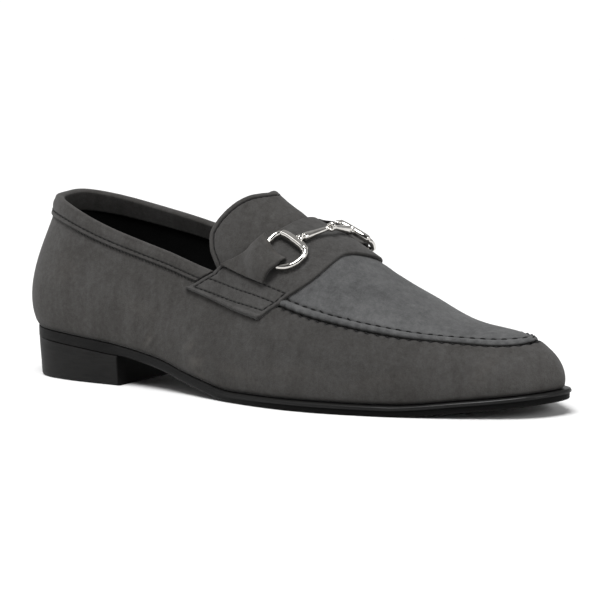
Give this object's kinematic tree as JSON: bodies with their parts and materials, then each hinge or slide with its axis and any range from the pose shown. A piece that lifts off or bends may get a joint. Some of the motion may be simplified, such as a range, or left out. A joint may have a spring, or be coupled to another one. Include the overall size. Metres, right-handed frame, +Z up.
{
  "type": "bit loafer",
  "caption": "A low-heeled nubuck slip-on shoe for the right foot, with an apron seam, a saddle strap and a metal bit",
  "frame": {"origin": "Middle of the shoe's overall box in plan, on the floor", "axes": "+X from heel to toe, +Y to the wearer's left, which is the inner side of this right shoe, +Z up"},
  "size_m": [0.3034, 0.101, 0.0966],
  "materials": {
    "suede": "matt nubuck, grey",
    "sole_black": "dyed and waxed, black",
    "lining": "smooth, black",
    "steel": "polished"
  },
  "bodies": {
    "root": {"outsole": "sole_black", "heel": "sole_black", "insole": "lining", "upper": "suede", "collar_band": "suede", "tongue": "suede", "saddle_strap": "suede", "tab_lateral": "suede", "tab_medial": "suede", "ring_lateral": "steel", "ring_medial": "steel", "mouthpiece_lateral": "steel", "mouthpiece_medial": "steel", "mouthpiece_link": "steel"}
  },
  "joints": []
}
